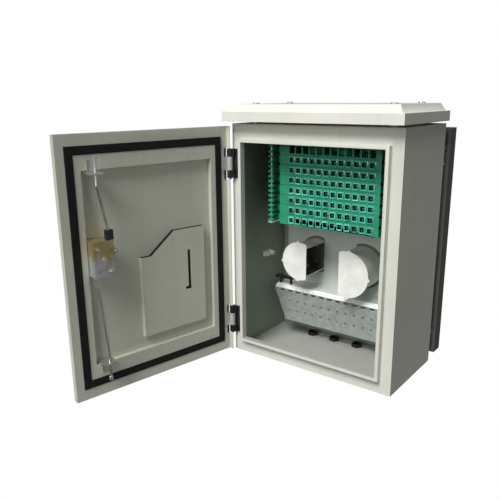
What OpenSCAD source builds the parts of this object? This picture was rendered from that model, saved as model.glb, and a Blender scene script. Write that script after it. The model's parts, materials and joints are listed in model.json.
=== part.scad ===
// Wall-mounted fibre termination box with a swing door, eight swing-out
// splice trays, a two-rod door lock and a rain hood. Sizes in millimetres.
// Box frame: x to the right, y to the back, z up, zero at the bottom centre
// of the front flange. Every node is then moved so that the origin is the
// centre of the four wall fixing slots, on the wall plane.

/* [Enclosure] */
// Width of the box body
box_w = 450; // [440:5:560]
// Height of the box body
box_h = 600; // [590:5:740]
// Depth of the box body
box_d = 234; // [230:1:300]
// Thickness of the folded sheet steel
sheet = 1.5; // [1.2:0.1:2]
// How far the sealing rim stands out of the front flange
rim_depth = 14; // [12:1:16]
// Width of the folded sealing rim
rim_w = 8; // [6:0.5:10]
// Width of the front flange between the body side and the rim
flange_w = 27; // [24:1:32]

/* [Rain hood] */
// Overhang of the hood at each side
hood_side = 9; // [5:1:20]
// Overhang of the hood at the front
hood_front = 30; // [32:1:60]
// Height of the hood skirt
skirt_h = 23; // [15:1:35]
// Height of the raised middle of the hood
hood_rise = 17; // [8:1:30]

/* [Door] */
// Door angle at rest, from closed
door_open = 101; // [90:1:110]
// Thickness of the door
door_t = 14; // [12:1:20]
// Gap between the door edge and the body side, seen from the front
door_margin = 3; // [2:0.5:5]
// Width of the door gasket
gasket_w = 18; // [12:1:18]
// Radius of the hinge knuckles
knuckle_r = 8; // [7:0.5:8]
// Radius of the hinge pins
pin_r = 3; // [2:0.5:4]
// Length of each hinge
hinge_len = 72; // [60:2:100]

/* [Lock] */
// Number of pinion teeth in the lock
pinion_teeth = 12; // [12:1:14]
// Tooth module of the pinion and the racks
tooth_m = 2; // [1.7:0.1:2.4]
// Radius of the locking rods
rod_r = 3; // [2.5:0.5:4]
// Length of the swing handle grip
grip_len = 112; // [90:2:140]

/* [Splice trays] */
// Vertical pitch of the trays
tray_pitch = 25; // [21:0.5:26]
// Width of a tray from its front left corner
tray_w = 272; // [260:1:275]
// Depth of a tray
tray_d = 106; // [80:1:110]
// Distance from the front flange back to the tray fronts
tray_y = 59; // [45:1:65]
// Horizontal pitch of the adapters
adapter_pitch = 19.5; // [18:0.1:19.6]
// Radius of the tray pivot rod
pivot_r = 3; // [2:0.5:4]

/* [Slack storage and cable entry] */
// Radius of the left half-round slack drum
drum_r = 52; // [40:1:54]
// Radius of the larger right slack drum
big_drum_r = 61; // [50:1:62]
// Depth of the slack drums
drum_d = 98; // [60:1:110]
// Height of the cable fixing bracket
bracket_h = 100; // [70:5:100]
// Radius of the cable bore in a gland
cable_r = 7; // [4:0.5:8]
// Distance between the cable glands
gland_pitch = 70; // [50:5:80]

/* [Wall rails] */
// Distance from the back of the box to the wall
rail_gap = 66; // [50:1:90]
// Horizontal distance between the wall slots
wall_x = 416; // [400:2:420]
// Vertical distance between the wall slots
wall_z = 400; // [300:10:440]
// Radius of the wall screw slots
wall_screw_r = 4.5; // [3:0.5:6]

/* [Hidden] */
$fn = 64;

e = 0.01;                                   // overlap that makes cuts clean
fit = 0.05;                                 // radial clearance of a running fit
gap = 0.3;                                  // clearance between moving pieces
half_w = box_w / 2;
back_y = box_d - sheet;                     // inside of the back wall
wall_y = box_d + rail_gap;                  // plane of the wall
mid_z = box_h / 2;

// Sealing rim
rim_out = half_w - flange_w;
rim_in = rim_out - rim_w;
rim_z0 = 34;                                // outer bottom of the rim
rim_z1 = box_h - 36;                        // outer top of the rim
rim_back = 2;                               // where the inner fold of the rim ends

// Hood
hood_z = box_h + 6;                         // lower edge of the skirt
hood_top = hood_z + skirt_h;
hood_rear = 6;                              // the skirt stops short of the body back

// Door, in its closed place
door_back = -(rim_depth + 2);               // inner plane of the door
door_face = door_back - door_t;             // outer plane of the door
door_x = half_w - door_margin;
door_z0 = 4;
door_z1 = box_h - 6;
seat_mid = (rim_in + rim_out) / 2 - 1;      // middle of the gasket
gasket_t = 6;                               // how deep the gasket sits
seat_out = seat_mid + gasket_w / 2;
seat_in = seat_mid - gasket_w / 2;
seat_z0 = rim_z0 + rim_w / 2 - gasket_w / 2;
seat_z1 = rim_z1 - rim_w / 2 + gasket_w / 2;
lock_x = half_w - 80;                       // lock, in the closed place of the door
pitch_r = pinion_teeth * tooth_m / 2;
housing_x = pitch_r + 11;
recess_x = max(seat_in - 15, lock_x + housing_x + 1);   // half width of the recessed panel
recess_z0 = seat_z0 + gasket_w + 33;
recess_z1 = seat_z1 - gasket_w - 33;
panel_in = door_face + sheet;               // inner side of the front sheet
hinge_lip = 12;                             // lip along the hinge side of the door

// Hinges
axis_x = -half_w - 1;
axis_y = -10;
hinge_z = [89, box_h - 97];
leaf_part = 0.46;                           // share of the hinge held by the door

// Lock
lock_z = mid_z + 30;
rack_drop = 5.25 * PI * tooth_m;            // rack below the level of the pinion
rack_rise = 3.2 * PI * tooth_m;             // rack above the level of the pinion
rod_y = rim_back + 6;                       // plane of the locking rods
housing_z = rack_drop + 7;
rod_x = lock_x + 3;                         // where the rods pass their guides
rod_top = rim_z1 - rim_w - 5;
rod_bottom = rim_z0 + rim_w + 5;
guide_z = [rod_bottom + 40, rod_top - 38];
hub_y = door_face - 4;                      // outer plane of the escutcheon

// Trays
tray_count = 8;
fitted_trays = 7;
columns = 12;
pivot_x = -half_w + 69;
pivot_y = tray_y + 13;
tray_x = pivot_x + 34;                      // front left corner of a tray
trays_z = box_h - 49.5 - tray_count * tray_pitch;
tray_h = tray_pitch - 0.6;
tray_reach = tray_x + tray_w - pivot_x;     // swing radius of the right end
tray_wall = 2;
port_w = 14.6;
port_h = min(18, tray_h - 5);
port_x = tray_x + 27.8;                     // left side of the first adapter
frame_t = 2;                                // tray frame plate
frame_right = pivot_x + tray_reach + 9;

// Back plate, drums and bracket
plate_y = back_y - 15.5;                    // front of the back plate
plate_t = 2;
plate_x = half_w - 25;
drum_y = plate_y - drum_d;
drum_flat = 22;                             // from the drum centre to its flat side
drum_z = trays_z - 112.5;
drum_left_x = -101;
drum_right_x = 40;
big_drum_z = drum_z - 11;
bracket_z = drum_z - 88;
bracket_y = plate_y - 65;
bracket_x = half_w - 25;

// Cable entry
gland_y = back_y - 28;
gland_count = 4;
gland_shank = 12.5;
entry_x = gland_pitch * (gland_count - 1) / 2 + 28;
plate_under = 2;

// Wall rails
rail_w = 40;
rail_t = 2.5;
rail_depth = 38;
rail_x = wall_x / 2;                        // middle of a rail
rail_z0 = 13;
rail_z1 = box_h - 12;
rail_front = wall_y - rail_depth;
rail_bolt_z = [70, box_h - 60];
bolt_r = 4;

// ---------------------------------------------------------------- helpers

module place() {
    translate([0, -wall_y, -mid_z]) children();
}

// Pieces carried by the door, drawn in their closed place
module on_door() {
    place()
        translate([axis_x, axis_y, 0])
            rotate([0, 0, -door_open])
                translate([-axis_x, -axis_y, 0])
                    children();
}

// Box between two opposite corners
module slab(a, b) {
    translate(a) cube(b - a);
}

// Round bars along each axis, from one end to the other
module bar_x(y, z, x0, x1, r) {
    translate([x0, y, z]) rotate([0, 90, 0]) cylinder(r = r, h = x1 - x0);
}

module bar_y(x, z, y0, y1, r) {
    translate([x, y1, z]) rotate([90, 0, 0]) cylinder(r = r, h = y1 - y0);
}

module bar_z(x, y, z0, z1, r) {
    translate([x, y, z0]) cylinder(r = r, h = z1 - z0);
}

// Hexagon bar along y
module hex_y(x, z, y0, y1, r) {
    translate([x, y1, z]) rotate([90, 0, 0]) cylinder(r = r, h = y1 - y0, $fn = 6);
}

// Hexagon bar along z
module hex_z(x, y, z0, z1, r) {
    translate([x, y, z0]) cylinder(r = r, h = z1 - z0, $fn = 6);
}

// Rectangular ring in the xz plane: outer half width, heights, wall, depth
module ring_y(x, z0, z1, wall_x, wall_z, y0, y1) {
    difference() {
        slab([-x, y0, z0], [x, y1, z1]);
        slab([-x + wall_x, y0 - 1, z0 + wall_z], [x - wall_x, y1 + 1, z1 - wall_z]);
    }
}

// Round bar between two points
module bar_between(a, b, r) {
    d = b - a;
    translate(a)
        rotate([0, acos(d.z / norm(d)), atan2(d.y, d.x)])
            cylinder(r = r, h = norm(d));
}

// ---------------------------------------------------------------- enclosure

module enclosure_shell() {
    color("gainsboro")
        place()
            difference() {
                union() {
                    difference() {
                        slab([-half_w, 0, 0], [half_w, box_d, box_h]);
                        slab([-half_w + sheet, sheet, sheet],
                             [half_w - sheet, back_y, box_h - sheet]);
                        slab([-rim_out, -1, rim_z0], [rim_out, sheet + 1, rim_z1]);
                    }
                    sealing_rim();
                }
                // cable entry window in the floor
                slab([-entry_x + 12, gland_y - 18, -1], [entry_x - 12, gland_y + 18, sheet + 1]);
                for (x = [-rail_x, rail_x], z = rail_bolt_z)
                    bar_y(x, z, back_y - 1, box_d + 1, bolt_r);
                for (x = [-1, 1], y = hood_spacer_y())
                    bar_z(x * hood_spacer_x(), y, box_h - sheet - 1, box_h + 1, bolt_r);
                bar_z(earth_x(), earth_y(), -1, sheet + 1, bolt_r);
            }
}

// Folded rim that the gasket closes on, open at the back
module sealing_rim() {
    ring_y(rim_out, rim_z0, rim_z1, sheet, sheet, -rim_depth, sheet);
    ring_y(rim_out, rim_z0, rim_z1, rim_w, rim_w, -rim_depth, -rim_depth + sheet);
    ring_y(rim_in + sheet, rim_z0 + rim_w - sheet, rim_z1 - rim_w + sheet,
           sheet, sheet, -rim_depth, rim_back);
}

function hood_spacer_x() = half_w - 45;
function hood_spacer_y() = [40, box_d - 45];
function earth_x() = half_w - 30;
function earth_y() = 150;

// Pyramid stump with straight sides, from two crossed prisms
module stump(x, y0, y1, z0, z1, slope) {
    intersection() {
        translate([0, y1, 0])
            rotate([90, 0, 0])
                linear_extrude(y1 - y0)
                    polygon([[-x, z0], [x, z0], [x - slope, z1], [-x + slope, z1]]);
        translate([-x, 0, 0])
            rotate([90, 0, 90])
                linear_extrude(2 * x)
                    polygon([[y0, z0], [y1, z0], [y1 - slope, z1], [y0 + slope, z1]]);
    }
}

module rain_hood() {
    x = half_w + hood_side;
    y0 = -hood_front;
    y1 = box_d - hood_rear;
    inset = 8;
    slope = 9;
    color("whitesmoke")
        place()
            difference() {
                union() {
                    slab([-x, y0, hood_z], [x, y1, hood_top]);
                    stump(x - inset, y0 + inset, y1 - inset, hood_top - e,
                          hood_top + hood_rise, slope);
                }
                slab([-x + sheet, y0 + sheet, hood_z - 1],
                     [x - sheet, y1 - sheet, hood_top - sheet]);
                stump(x - inset - sheet, y0 + inset + sheet, y1 - inset - sheet,
                      hood_top - sheet - e, hood_top + hood_rise - sheet, slope);
                for (sx = [-1, 1], y = hood_spacer_y())
                    bar_z(sx * hood_spacer_x(), y, hood_top, hood_top + hood_rise + 1, bolt_r);
            }
}

module hood_spacers() {
    color("silver")
        place()
            for (sx = [-1, 1], y = hood_spacer_y())
                difference() {
                    bar_z(sx * hood_spacer_x(), y, box_h, hood_top + hood_rise - sheet, 9);
                    bar_z(sx * hood_spacer_x(), y, box_h - 1, hood_top + hood_rise, bolt_r);
                }
}

// Dome-head bolts through the hood, nuts inside the box
module hood_bolts() {
    top = hood_top + hood_rise;
    color("silver")
        place()
            for (sx = [-1, 1], y = hood_spacer_y()) {
                bar_z(sx * hood_spacer_x(), y, box_h - 10, top, bolt_r);
                bar_z(sx * hood_spacer_x(), y, top, top + 3, 8);
                hex_z(sx * hood_spacer_x(), y, box_h - sheet - 6, box_h - sheet, 7.5);
            }
}

// ---------------------------------------------------------------- wall rails

// C-shaped rail, open towards the middle of the box; side is -1 or 1
module rail(side) {
    x0 = rail_x - rail_w / 2;
    x1 = rail_x + rail_w / 2;
    color("dimgray")
        place()
            mirror([side < 0 ? 1 : 0, 0, 0])
                difference() {
                    slab([x0, rail_front, rail_z0], [x1, wall_y, rail_z1]);
                    slab([x0 - 1, rail_front + rail_t, rail_z0 - 1],
                         [x1 - rail_t, wall_y - rail_t, rail_z1 + 1]);
                    for (z = rail_bolt_z)
                        bar_y(rail_x, z, rail_front - 1, rail_front + rail_t + 1, bolt_r);
                    for (z = [mid_z - wall_z / 2, mid_z + wall_z / 2]) {
                        bar_y(rail_x, z, wall_y - rail_t - 1, wall_y + 1, wall_screw_r);
                        bar_y(rail_x, z, rail_front - 1, rail_front + rail_t + 1, 10);
                    }
                }
}

module mount_rail_left() rail(-1);

module mount_rail_right() rail(1);

module rail_spacers() {
    color("silver")
        place()
            for (x = [-rail_x, rail_x], z = rail_bolt_z)
                difference() {
                    bar_y(x, z, box_d, rail_front, 11);
                    bar_y(x, z, box_d - 1, rail_front + 1, bolt_r);
                }
}

// Hex-head bolts from inside the box, with a nut in each rail
module rail_bolts() {
    color("silver")
        place()
            for (x = [-rail_x, rail_x], z = rail_bolt_z) {
                bar_y(x, z, back_y, rail_front + rail_t + 10, bolt_r);
                hex_y(x, z, back_y - 5, back_y, 7.5);
                hex_y(x, z, rail_front + rail_t, rail_front + rail_t + 6, 7.5);
            }
}

// ---------------------------------------------------------------- inner plate

function stud_x() = plate_x - 20;
function stud_z() = [50, box_h - 45];

module back_plate() {
    color("lightgray")
        place()
            difference() {
                slab([-plate_x, plate_y, 30], [plate_x, plate_y + plate_t, box_h - 30]);
                for (x = [-1, 1], z = stud_z())
                    bar_y(x * stud_x(), z, plate_y - 1, plate_y + plate_t + 1, 3);
            }
}

// Welded studs on the back wall with collars and nuts
module back_plate_studs() {
    color("silver")
        place()
            for (x = [-1, 1], z = stud_z()) {
                bar_y(x * stud_x(), z, plate_y + plate_t, back_y, 7);
                bar_y(x * stud_x(), z, plate_y - 8, back_y, 3);
                hex_y(x * stud_x(), z, plate_y - 5, plate_y, 5.8);
            }
}

// Earthing stud through the floor, with nuts and washers
module earth_stud() {
    color("goldenrod")
        place() {
            bar_z(earth_x(), earth_y(), -22, 26, bolt_r);
            hex_z(earth_x(), earth_y(), -8, -1.5, 7.5);
            bar_z(earth_x(), earth_y(), -1.5, 0, 10);
            bar_z(earth_x(), earth_y(), sheet, sheet + 1.5, 10);
            hex_z(earth_x(), earth_y(), sheet + 1.5, sheet + 8, 7.5);
        }
}

// ---------------------------------------------------------------- trays

function tray_z(i) = trays_z + (tray_count - i) * tray_pitch;

// Shelf, right side and top that carry the pivot rod
module tray_frame() {
    z0 = trays_z - gap - frame_t;
    z1 = trays_z + tray_count * tray_pitch - gap;
    front = pivot_y + 20;
    color("lightgray")
        place()
            difference() {
                union() {
                    for (z = [z0, z1]) {
                        slab([pivot_x - 10, front, z], [frame_right, plate_y, z + frame_t]);
                        slab([pivot_x - 10, pivot_y, z], [pivot_x + 10, front + e, z + frame_t]);
                        bar_z(pivot_x, pivot_y, z, z + frame_t, 10);
                    }
                    slab([frame_right - frame_t, front, z0], [frame_right, plate_y, z1 + frame_t]);
                }
                bar_z(pivot_x, pivot_y, z0 - 1, z1 + frame_t + 1, pivot_r);
            }
}

module tray_pivot_rod() {
    z0 = trays_z - gap - frame_t;
    z1 = trays_z + tray_count * tray_pitch - gap + frame_t;
    color("silver")
        place() {
            bar_z(pivot_x, pivot_y, z0 - 3, z1 + 3, pivot_r);
            bar_z(pivot_x, pivot_y, z0 - 3, z0, pivot_r + 3);
            bar_z(pivot_x, pivot_y, z1, z1 + 3, pivot_r + 3);
        }
}

// Plan of a tray: straight left and back, right end on the swing radius
module tray_plan(inset) {
    intersection() {
        translate([tray_x + inset, tray_y + inset])
            square([tray_w + 50, tray_d - 2 * inset]);
        translate([pivot_x, pivot_y]) circle(r = tray_reach - inset, $fn = 180);
    }
}

function port_left(c) = port_x + adapter_pitch * c;

module tray_body() {
    rim_h = tray_h - 7;
    lug_t = 5;
    difference() {
        union() {
            linear_extrude(1.6) tray_plan(0);
            difference() {
                linear_extrude(rim_h) tray_plan(0);
                translate([0, 0, -1]) linear_extrude(rim_h + 2) tray_plan(tray_wall);
            }
            // front wall with a wide post at each end
            slab([tray_x, tray_y, 0], [pivot_x + tray_reach - 1, tray_y + 3, tray_h]);
            slab([tray_x, tray_y, 0], [port_x - 2, tray_y + 9, tray_h]);
            // arm to the pivot
            slab([pivot_x - 4, pivot_y + 22, 0], [tray_x + 4, pivot_y + 46, rim_h]);
            // two knuckles with their webs
            for (z = [2, 2 + tray_pitch / 2]) {
                translate([pivot_x, pivot_y, z]) cylinder(r = 9, h = lug_t);
                slab([pivot_x - 9, pivot_y, z], [pivot_x + 5, pivot_y + 30, z + lug_t]);
            }
            slab([pivot_x - 9, pivot_y + 14, 2], [pivot_x + 5, pivot_y + 30, rim_h]);
            // winding posts for the stripped fibres
            for (x = [70, 150])
                difference() {
                    translate([tray_x + x, tray_y + 68, 0]) cylinder(r = 22, h = rim_h - 3);
                    translate([tray_x + x, tray_y + 68, 1.6]) cylinder(r = 20, h = rim_h);
                }
            // splice holder ribs
            for (x = [0:5])
                slab([tray_x + 190 + 6 * x, tray_y + 50, 0],
                     [tray_x + 192 + 6 * x, tray_y + 90, 8]);
        }
        translate([pivot_x, pivot_y, -1]) cylinder(r = pivot_r + fit, h = tray_h + 2);
        for (c = [0 : columns - 1])
            slab([port_left(c), tray_y - 1, 3.2],
                 [port_left(c) + port_w, tray_y + 4, 3.2 + port_h]);
    }
}

module tray(i) {
    color("mediumseagreen")
        place()
            translate([0, 0, tray_z(i)])
                tray_body();
}

// One adapter: square housing with a port at each end and a split sleeve
module adapter() {
    w = port_w - 2 * gap;
    h = port_h - 2 * gap;
    port = 11.4;
    length = 27;
    difference() {
        union() {
            slab([gap, -2, gap], [gap + w, length - 2, gap + h]);
            slab([gap - 1.6, 3 + gap, gap - 1], [gap + w + 1.6, 6, gap + h + 1]);
        }
        for (y = [-3, length - 13])
            slab([port_w / 2 - port / 2, y, port_h / 2 - port / 2],
                 [port_w / 2 + port / 2, y + 12, port_h / 2 + port / 2]);
    }
    for (y = [1, length - 15])
        difference() {
            bar_y(port_w / 2, port_h / 2, y, y + 10, 2.2);
            bar_y(port_w / 2, port_h / 2, y - 1, y + 11, 1.3);
        }
}

module adapters(i) {
    color("seagreen")
        place()
            for (c = [0 : columns - 1])
                translate([port_left(c), tray_y, tray_z(i) + 3.2])
                    adapter();
}

// ---------------------------------------------------------------- slack storage

// Outline of a half-round drum, round side to the left
module drum_outline(r) {
    difference() {
        circle(r = r);
        translate([drum_flat, -r - 1]) square([r, 2 * r + 2]);
    }
}

// Hollow drum on the back plate, open on its flat side
module slack_drum(x, z, r, side) {
    nub_angles = [95, 185, 265];
    flange_t = 2.5;
    color("white")
        place()
            translate([x, plate_y, z])
                mirror([side > 0 ? 1 : 0, 0, 0])
                    rotate([90, 0, 0])
                        difference() {
                            union() {
                                linear_extrude(flange_t) drum_outline(r);
                                linear_extrude(drum_d) drum_outline(r - 7);
                                translate([0, 0, drum_d - flange_t])
                                    linear_extrude(flange_t) drum_outline(r);
                                for (a = nub_angles)
                                    rotate([0, 0, a])
                                        translate([r, 0, drum_d - flange_t])
                                            cylinder(r = 4, h = flange_t);
                            }
                            translate([0, 0, flange_t])
                                linear_extrude(drum_d - 2 * flange_t) circle(r = r - 9);
                            for (y = [-20, 20])
                                translate([0, y, -1]) cylinder(r = 2, h = 5);
                        }
}

module slack_drum_left() slack_drum(drum_left_x, drum_z, drum_r, -1);

module slack_drum_right() slack_drum(drum_right_x, big_drum_z, big_drum_r, 1);

module drum_screws() {
    color("silver")
        place()
            for (d = [[drum_left_x, drum_z], [drum_right_x, big_drum_z]], z = [-20, 20]) {
                bar_y(d.x, d.y + z, plate_y - 5, plate_y, 2);
                bar_y(d.x, d.y + z, plate_y - 5, plate_y - 2.5, 4);
            }
}

// ---------------------------------------------------------------- cable fixing

// Folded bracket: sloping lip, a row of tie slots under it, and clamp holes
module cable_bracket() {
    z0 = bracket_z - bracket_h;
    slot_pitch = 25;
    slots = 7;
    corner = 36;
    lip = 9;
    low = bracket_z - lip;
    color("lightsteelblue")
        place()
            difference() {
                union() {
                    slab([-bracket_x, bracket_y + lip - e, bracket_z - sheet],
                         [bracket_x, plate_y, bracket_z]);
                    translate([-bracket_x, 0, 0])
                        rotate([90, 0, 90])
                            linear_extrude(2 * bracket_x)
                                polygon([[bracket_y + lip, bracket_z], [bracket_y, low],
                                         [bracket_y, low - 1], [bracket_y + sheet, low - 1],
                                         [bracket_y + sheet, low - 0.6 * sheet],
                                         [bracket_y + lip, bracket_z - sheet]]);
                    translate([0, bracket_y + sheet, 0])
                        rotate([90, 0, 0])
                            linear_extrude(sheet)
                                polygon([[-bracket_x, low], [bracket_x, low],
                                         [bracket_x, low - 6],
                                         [bracket_x - corner, z0], [-bracket_x + corner, z0],
                                         [-bracket_x, low - 6]]);
                    slab([-bracket_x, plate_y - sheet, bracket_z - 25],
                         [bracket_x, plate_y, bracket_z]);
                }
                for (k = [-slots : slots])
                    slab([k * slot_pitch - 6.5, bracket_y - 1, low - 8],
                         [k * slot_pitch + 6.5, bracket_y + sheet + 1, low - 2]);
                for (k = [-6 : 6])
                    for (z = [42, 70])
                        bar_y(k * slot_pitch, bracket_z - z, bracket_y - 1,
                              bracket_y + sheet + 1, 3);
                for (x = bracket_screw_x())
                    bar_y(x, bracket_z - 15, plate_y - sheet - 1, plate_y + 1, 2.5);
            }
}

function bracket_screw_x() = [-160, 0, 160];

module cable_bracket_screws() {
    color("silver")
        place()
            for (x = bracket_screw_x()) {
                bar_y(x, bracket_z - 15, plate_y - sheet - 3, plate_y, 2.5);
                bar_y(x, bracket_z - 15, plate_y - sheet - 3, plate_y - sheet, 4.5);
            }
}

// Black bar that clamps the steel strength members of the cables
module strength_member_clamp() {
    x0 = -bracket_x - 7;
    x1 = x0 + 56;
    y = bracket_y + 18;
    z = bracket_z + 15;
    color("black")
        place() {
            slab([x0, y - 6, z], [x1, y + 6, z + 7]);
            for (x = [x0 + 14, x1 - 8])
                bar_z(x, y, bracket_z, z + e, 4);
        }
}

// Fibre guide clips on both side walls
module fibre_clips() {
    color("ivory")
        place()
            for (side = [-1, 1])
                mirror([side < 0 ? 1 : 0, 0, 0])
                    translate([half_w - sheet, 142, drum_z]) {
                        slab([-2, -18, -8], [0, 18, 8]);
                        difference() {
                            slab([-16, -16, -5], [-2 + e, 16, 5]);
                            slab([-13.5, -13.5, -6], [-2, 13.5, 6]);
                            slab([-17, -4, -6], [-12, 4, 6]);
                        }
                    }
}

// ---------------------------------------------------------------- cable entry

function gland_x(k) = (k - (gland_count - 1) / 2) * gland_pitch;
function entry_screws() = [for (x = [-1, 1], y = [-21, 21]) [x * (entry_x - 6), gland_y + y]];

module gland_plate() {
    color("gainsboro")
        place()
            difference() {
                slab([-entry_x, gland_y - 26, -plate_under], [entry_x, gland_y + 26, 0]);
                for (k = [0 : gland_count - 1])
                    bar_z(gland_x(k), gland_y, -plate_under - 1, 1, gland_shank);
                for (p = entry_screws())
                    bar_z(p.x, p.y, -plate_under - 1, 1, 2.5);
            }
}

// Screws that end in the floor sheet
module gland_plate_screws() {
    color("silver")
        place()
            for (p = entry_screws()) {
                bar_z(p.x, p.y, -plate_under, 0, 2.5);
                bar_z(p.x, p.y, -plate_under - 3, -plate_under, 4.5);
            }
}

module gland_bodies() {
    color([0.15, 0.15, 0.16])
        place()
            for (k = [0 : gland_count - 1])
                difference() {
                    union() {
                        bar_z(gland_x(k), gland_y, -plate_under, 9, gland_shank);
                        hex_z(gland_x(k), gland_y, -plate_under - 8, -plate_under, 18);
                        bar_z(gland_x(k), gland_y, -plate_under - 14, -plate_under, 13);
                    }
                    bar_z(gland_x(k), gland_y, -plate_under - 15, 10, cable_r + 3);
                }
}

module gland_nuts() {
    color([0.15, 0.15, 0.16])
        place()
            for (k = [0 : gland_count - 1])
                difference() {
                    hex_z(gland_x(k), gland_y, 0, 6, 15.8);
                    bar_z(gland_x(k), gland_y, -1, 7, gland_shank);
                }
}

// Cap nut over the lower end of each gland body
module gland_caps() {
    top = -plate_under - 8;
    color([0.18, 0.18, 0.19])
        place()
            for (k = [0 : gland_count - 1])
                difference() {
                    union() {
                        hex_z(gland_x(k), gland_y, top - 14, top, 17.5);
                        bar_z(gland_x(k), gland_y, top - 22, top, 14.5);
                    }
                    bar_z(gland_x(k), gland_y, -plate_under - 14, top + 1, 13);
                    bar_z(gland_x(k), gland_y, top - 23, top + 1, cable_r + 3);
                }
}

// Rubber sleeve that grips the cable
module gland_seals() {
    color([0.1, 0.1, 0.1])
        place()
            for (k = [0 : gland_count - 1])
                difference() {
                    bar_z(gland_x(k), gland_y, -plate_under - 30, -plate_under - 8, cable_r + 3);
                    bar_z(gland_x(k), gland_y, -plate_under - 31, -plate_under - 7, cable_r);
                }
}

// ---------------------------------------------------------------- door

// Outer pan: front sheet, folded edges, flat margin and the gasket seat
module door_panel() {
    seat_y = door_back - gasket_t;
    color("gainsboro")
        on_door()
            difference() {
                union() {
                    slab([-door_x, door_face, door_z0], [door_x, panel_in, door_z1]);
                    ring_y(door_x, door_z0, door_z1, sheet, sheet, door_face, door_back);
                    slab([-door_x, door_back - e, door_z0],
                         [-door_x + sheet, door_back + hinge_lip, door_z1]);
                    ring_y(door_x, door_z0, door_z1, door_x - seat_out - gap,
                           seat_z0 - gap - door_z0, door_back - sheet, door_back);
                    ring_y(seat_out + gap + sheet, seat_z0 - gap - sheet, seat_z1 + gap + sheet,
                           sheet, sheet, seat_y - sheet, door_back);
                    ring_y(seat_out + gap, seat_z0 - gap, seat_z1 + gap,
                           gasket_w + gap, gasket_w + gap, seat_y - sheet, seat_y);
                }
                // pockets for the hinge knuckles
                for (z = hinge_z)
                    slab([-door_x - 1, axis_y - knuckle_r - 2, z - hinge_len / 2 - 5],
                         [axis_x + 14, door_back + hinge_lip + 1, z + hinge_len / 2 + 2]);
                // square hole for the lock spindle, and its fixing holes
                bar_y(lock_x, lock_z, door_face - 1, panel_in + 1, 7);
                for (z = escutcheon_bolts())
                    bar_y(lock_x, z, door_face - 1, panel_in + 1, 2.5);
            }
}

// Folded frame that stiffens the door inside the gasket
module door_stiffener() {
    x = seat_in - gap;
    z0 = seat_z0 + gasket_w + gap;
    z1 = seat_z1 - gasket_w - gap;
    color("gainsboro")
        on_door()
            difference() {
                ring_y(x, z0, z1, x - recess_x, recess_z0 - z0, panel_in, door_back);
                ring_y(x - sheet, z0 + sheet, z1 - sheet, x - recess_x - 2 * sheet,
                       recess_z0 - z0 - 2 * sheet, panel_in - 1, door_back - sheet);
            }
}

// Rubber strip in its seat, closed on by the rim
module door_gasket() {
    color([0.06, 0.06, 0.06])
        on_door()
            ring_y(seat_out, seat_z0, seat_z1, gasket_w, gasket_w,
                   door_back - gasket_t, -rim_depth - gap);
}

// Sheet pocket for the wiring plan, open at the top, with a drain slot
module document_pocket() {
    x0 = -recess_x + 26;
    x1 = 38;
    step_z = 305;
    top_z = 356;
    low_z = recess_z0 + 30;
    depth = 11;
    slot_x = -96;
    back = 0.6;
    outline = [[x0, low_z], [x1, low_z], [x1, step_z], [x1 - 27, step_z],
               [x1 - 92, top_z], [x0, top_z]];
    color("gainsboro")
        on_door()
            translate([0, panel_in, 0])
                difference() {
                    translate([0, depth, 0]) rotate([90, 0, 0]) linear_extrude(depth)
                        polygon(outline);
                    slab([x0 + sheet, back, low_z + sheet],
                         [x1 - sheet, depth - sheet, top_z + 1]);
                    // slot with a short foot towards the free edge
                    slab([slot_x - 3.5, back, 206], [slot_x + 3.5, depth + 1, 302]);
                    slab([slot_x - 3.5, back, 202], [slot_x + 12, depth + 1, 209]);
                }
}

// ---------------------------------------------------------------- hinges

// Black die-cast halves on the box: two end knuckles and a plate each
module hinge_bodies() {
    inner = hinge_len * leaf_part / 2;
    color([0.08, 0.08, 0.08])
        place()
            difference() {
                for (z = hinge_z)
                    translate([0, 0, z]) {
                        slab([axis_x + 4, -3, -hinge_len / 2],
                             [-rim_out - 2, 0, hinge_len / 2]);
                        for (s = [-1, 1])
                            translate([0, 0, s < 0 ? -hinge_len / 2 : inner + gap]) {
                                h = hinge_len / 2 - inner - gap;
                                bar_z(axis_x, axis_y, 0, h, knuckle_r);
                                slab([axis_x, axis_y, 0], [axis_x + knuckle_r + 4, -e, h]);
                                slab([axis_x, axis_y - 2, 0], [axis_x + knuckle_r, axis_y + e, h]);
                            }
                    }
                for (z = hinge_z)
                    bar_z(axis_x, axis_y, z - hinge_len, z + hinge_len, pin_r);
            }
}

module hinge_pins() {
    color("dimgray")
        place()
            for (z = hinge_z) {
                bar_z(axis_x, axis_y, z - hinge_len / 2 - 4, z + hinge_len / 2 + 1, pin_r);
                bar_z(axis_x, axis_y, z - hinge_len / 2 - 4, z - hinge_len / 2, pin_r + 1.5);
            }
}

// Grey halves on the door: a middle knuckle and a plate each
module hinge_leaves() {
    inner = hinge_len * leaf_part / 2;
    color("darkgray")
        on_door()
            for (z = hinge_z)
                difference() {
                    union() {
                        bar_z(axis_x, axis_y, z - inner, z + inner, knuckle_r);
                        slab([axis_x, axis_y - knuckle_r, z - inner],
                             [axis_x + 12, axis_y - knuckle_r + 4, z + inner]);
                        slab([axis_x + 9, door_back, z - inner],
                             [-seat_out - 1, door_back + 2.5, z + inner]);
                        slab([axis_x + 9, axis_y - knuckle_r, z - inner],
                             [axis_x + 12, door_back + 2.5, z + inner]);
                    }
                    bar_z(axis_x, axis_y, z - inner - 1, z + inner + 1, pin_r + fit);
                }
}

// ---------------------------------------------------------------- lock

function escutcheon_bolts() = [lock_z + 26, lock_z - 26];

// Tooth proportions of the pinion and the racks
add = 0.7 * tooth_m;
ded = 1.1 * tooth_m;
slack = 0.35;                               // play between the tooth flanks
press = 20;                                 // flank angle

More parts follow.
